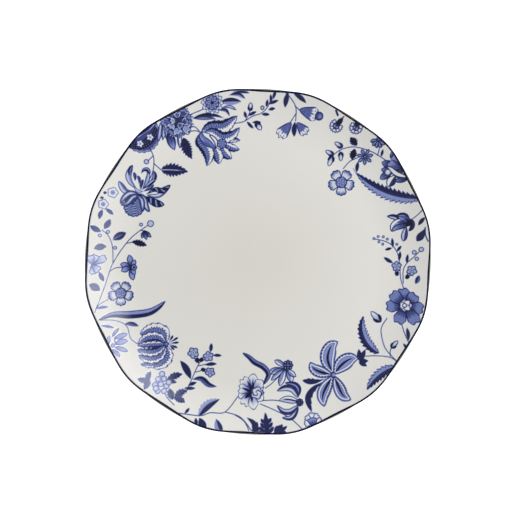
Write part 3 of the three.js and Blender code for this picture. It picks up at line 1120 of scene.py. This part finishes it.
def glaze_material():
    """White body and clear glaze, with painted olive-grey shade where the lip rolls over."""
    material, shader, add = new_material("china_glaze")
    body = white_body(gloss_surface(shader, add), add)
    lip_shade = add("Attribute", "Fac", attribute_name="lip_shade")
    feed(shader, Base_Color=mix_colours(add, lip_shade, body, LIP_EDGE_SHADE))
    return material


def print_material():
    """Cobalt under the glaze. The drawing's tone says how much of it there is."""
    material, shader, add = new_material("cobalt_print")
    where = gloss_surface(shader, add)
    tone = add("Attribute", "Fac", attribute_name="tone")
    mottle = add("TexNoise", "Fac", where, Scale=850, Detail=2)
    uneven = add("MapRange", "Result", mottle, To_Min=0.82, To_Max=1.18)
    strength = add("Math", "Value", tone, uneven, operation="MULTIPLY")
    printed = add("MapRange", "Result", strength, From_Max=PALE)
    shade = ramp(add, strength, *COBALT)
    feed(shader, Base_Color=mix_colours(add, printed, white_body(where, add), shade))
    return material


def band_material():
    """The painted cobalt edge, a little uneven from the brush."""
    material, shader, add = new_material("cobalt_band")
    brush = add("TexNoise", "Fac", gloss_surface(shader, add), Scale=160, Detail=3)
    shade = ramp(add, brush, (0.35, (0.003, 0.003, 0.028)), (0.75, (0.008, 0.009, 0.075)))
    feed(shader, Base_Color=shade, Specular_IOR_Level=0.1)
    return material


def foot_material():
    """Glazed like the body, but wiped bare where the foot touches the table."""
    material, shader, add = new_material("foot_clay")
    where = add("TexCoord", "Object")
    height = add("SeparateXYZ", "Z", where)
    grain = add("TexNoise", "Fac", where, Scale=420, Detail=4)
    wobble = add("Math", "Value", grain, -0.5 * MM, height, operation="MULTIPLY_ADD")
    glazed = add("MapRange", "Result", wobble, From_Min=0.7 * MM, From_Max=0.9 * MM)
    clay = ramp(add, grain, (0.3, CLAY), (0.7, [c * 0.86 for c in CLAY]))
    sheen = add("MapRange", "Result", glazed, To_Min=0.85, To_Max=0.12)
    tooth = add("Bump", "Normal", Strength=0.35, Distance=0.15 * MM, Height=grain)
    body = mix_colours(add, glazed, clay, white_body(where, add))
    feed(shader, IOR=GLAZE_IOR, Base_Color=body, Roughness=sheen, Normal=tooth)
    return material


# ---------------------------------------------------------------- the pieces
FILM_RISE = 0.03  # the print's film stands this far above the glaze
FILM_DEPTH = 0.05  # and reaches this far down into it
NUDGE = 0.05  # distance over which the glaze's slope is measured


def mark(piece, name, values):
    """Keeps a value for each vertex, for the material to read."""
    attribute = piece.data.attributes.new(name, "FLOAT", "POINT")
    attribute.data.foreach_set("value", np.asarray(values, np.float32))


def glaze_height(x, y):
    return top_height(np.hypot(x, y), np.arctan2(y, x))


def painted_lip_shade(piece):
    """How much painted shade each vertex gets: 1 round the lip's outer edge, 0 elsewhere."""
    x, y, z = (np.array([vertex.co for vertex in piece.data.vertices]) / MM).T
    over_the_edge = np.clip((glaze_height(x, y) - z - 0.4) / 0.6, 0, 1)
    return over_the_edge * np.clip((np.hypot(x, y) - LIP_RADIUS + 5) / 4, 0, 1)


def film_surface():
    """The grid's points on the glaze, pulled in to the band, with which of them lie inside it."""
    x, y = np.meshgrid(GRID, GRID)
    radius = np.hypot(x, y)
    bearing = np.arctan2(y, x)
    limit = band_inner_radius(bearing)
    pull = np.minimum(limit / np.maximum(radius, 1), 1)
    return x * pull, y * pull, radius < limit


def add_film(name, cells, surface_x, surface_y, material):
    """A thin closed film over these cells of the grid, shaded as the glaze below it is."""
    corner = np.zeros(tone_grid.shape, bool)
    for down, right in ((0, 0), (0, 1), (1, 0), (1, 1)):
        corner[down : down + cells.shape[0], right : right + cells.shape[1]] |= cells
    number = np.full(tone_grid.shape, -1)
    count = int(corner.sum())
    number[corner] = np.arange(count)
    x, y = surface_x[corner], surface_y[corner]
    height = glaze_height(x, y)
    top = np.stack([x, y, height + FILM_RISE], axis=1)
    under = np.stack([x, y, height - FILM_DEPTH], axis=1)
    fall_x = glaze_height(x - NUDGE, y) - glaze_height(x + NUDGE, y)
    fall_y = glaze_height(x, y - NUDGE) - glaze_height(x, y + NUDGE)
    normals = np.stack([fall_x, fall_y, np.full(count, 2 * NUDGE)], axis=1)
    normals /= np.linalg.norm(normals, axis=1)[:, None]

    row, column = np.nonzero(cells)
    ring = ((0, 0), (0, 1), (1, 1), (1, 0))
    quads = np.stack([number[row + down, column + right] for down, right in ring], axis=1)
    padded = np.pad(cells, 1)
    walls = []
    for side, (down, right) in enumerate(((-1, 0), (0, 1), (1, 0), (0, -1))):
        open_side = ~padded[row + 1 + down, column + 1 + right]
        one, other = quads[open_side, side], quads[open_side, (side + 1) % 4]
        walls.append(np.stack([one, one + count, other + count, other], axis=1))
    faces = np.concatenate([quads, quads[:, ::-1] + count, *walls])
    piece = add_piece(name, np.concatenate([top, under]), faces.tolist(), material, "cobalt_blue")
    piece.data.normals_split_custom_set_from_vertices(np.concatenate([normals, normals]))
    mark(piece, "tone", np.tile(tone_grid[corner], 2))
    return piece


def add_print():
    """Draws every spray, and lays each as a film over cells that no other film has taken."""
    sprays = []
    for draw in DRAWINGS:
        cover_grid[:] = 0
        draw()
        sprays.append((draw.__name__, cover_grid > 0.01))
    surface_x, surface_y, inside = film_surface()
    corners = lambda grid: grid[:-1, :-1] | grid[:-1, 1:] | grid[1:, :-1] | grid[1:, 1:]
    free = corners(inside)
    cobalt = print_material()
    films = []
    for name, drawn in sprays:
        cells = corners(drawn) & free
        free &= ~cells
        films.append(add_film("print_" + name, cells, surface_x, surface_y, cobalt))
    return films


china = glaze_material()
plate = add_piece("plate_china", *sweep(body_section), china, "glazed_porcelain", "plate_body")
mark(plate, "lip_shade", painted_lip_shade(plate))
add_piece("foot_ring_china", *sweep(foot_section), foot_material(), "unglazed_porcelain", "foot_ring")
add_piece("lip_band_cobalt", *sweep(band_section), band_material(), "cobalt_blue", "lip_band")
prints = add_print()


# ---------------------------------------------------------------- floor, light and camera
def add_floor():
    """A plain white floor. It throws no light back up, or the under side would be lost in it."""
    bpy.ops.mesh.primitive_plane_add(size=6, location=(0, 0, -0.2 * MM))
    floor = bpy.context.object
    floor.name = "floor"
    material, shader, _ = new_material("floor_white")
    feed(shader, Base_Color=(0.8, 0.8, 0.8, 1), Roughness=0.9)
    feed(shader, Emission_Color=(1, 1, 1, 1), Emission_Strength=0.85)
    floor.data.materials.append(material)
    floor.visible_diffuse = False
    floor.visible_glossy = False


def add_softbox(name, azimuth, zenith, distance, size, power, core=0.1, sheen_on=None):
    """A soft-edged square light that looks at the plate from that direction, angles in degrees.

    Where sheen_on names some pieces, it does no more than shine in the glaze over them.
    """
    data = bpy.data.lights.new(name, "AREA")
    data.shape = "RECTANGLE"
    data.size, data.size_y = size
    data.energy = power
    data.use_nodes = True
    add = node_adder(data.node_tree)
    out = add("VectorMath", "Value", add("NewGeometry", "Parametric"), (0.5, 0.5, 0), operation="DISTANCE")
    fall = add("MapRange", "Result", out, core, 0.5, 1, 0, interpolation_type="SMOOTHSTEP")
    feed(data.node_tree.nodes["Emission"], Strength=fall)
    light = bpy.data.objects.new(name, data)
    around, tilt = math.radians(azimuth), math.radians(zenith)
    light.location = (
        distance * math.sin(tilt) * math.cos(around),
        distance * math.sin(tilt) * math.sin(around),
        distance * math.cos(tilt),
    )
    light.rotation_euler = (0, tilt, around)
    bpy.context.scene.collection.objects.link(light)
    if sheen_on:
        light.visible_diffuse = False
        light.light_linking.receiver_collection = bpy.data.collections.new(name + "_reach")
        for piece in sheen_on:
            light.light_linking.receiver_collection.objects.link(piece)


def add_sky(below, level, above):
    """White surroundings, brightest all round, and dimmer overhead and underneath."""
    world = bpy.data.worlds.new("studio")
    world.use_nodes = True
    add = node_adder(world.node_tree)
    height = add("SeparateXYZ", "Z", add("TexCoord", "Generated"))
    share = add("MapRange", "Result", height, From_Min=-1)
    greys = [(place, (strength,) * 3) for place, strength in ((0, below), (0.5, level), (1, above))]
    feed(world.node_tree.nodes["Background"], Color=(1, 1, 1, 1), Strength=ramp(add, share, *greys))
    bpy.context.scene.world = world


add_floor()
add_softbox("key_softbox", azimuth=22, zenith=52, distance=1.3, size=(1.9, 2.2), power=29)
sheen_box = {"azimuth": 19, "zenith": 38, "distance": 1.3, "size": (1.5, 1.65), "power": 48, "core": 0.18}
add_softbox("sheen_softbox", **sheen_box, sheen_on=prints)
add_sky(below=0.3, level=0.95, above=0.44)

LENS = 85
SENSOR = 36
VIEW_WIDTH = 402.2
VIEW_MIDDLE = (-1.46, 4.53)  # where the middle of the view falls on the plate
camera_data = bpy.data.cameras.new("camera")
camera_data.lens = LENS
camera_data.sensor_width = SENSOR
camera = bpy.data.objects.new("camera", camera_data)
lip_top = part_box("lip_band")[1].z / MM
camera.location = [v * MM for v in (*VIEW_MIDDLE, lip_top + VIEW_WIDTH * LENS / SENSOR)]
bpy.context.scene.collection.objects.link(camera)
bpy.context.scene.camera = camera
bpy.context.scene.view_settings.view_transform = "Standard"
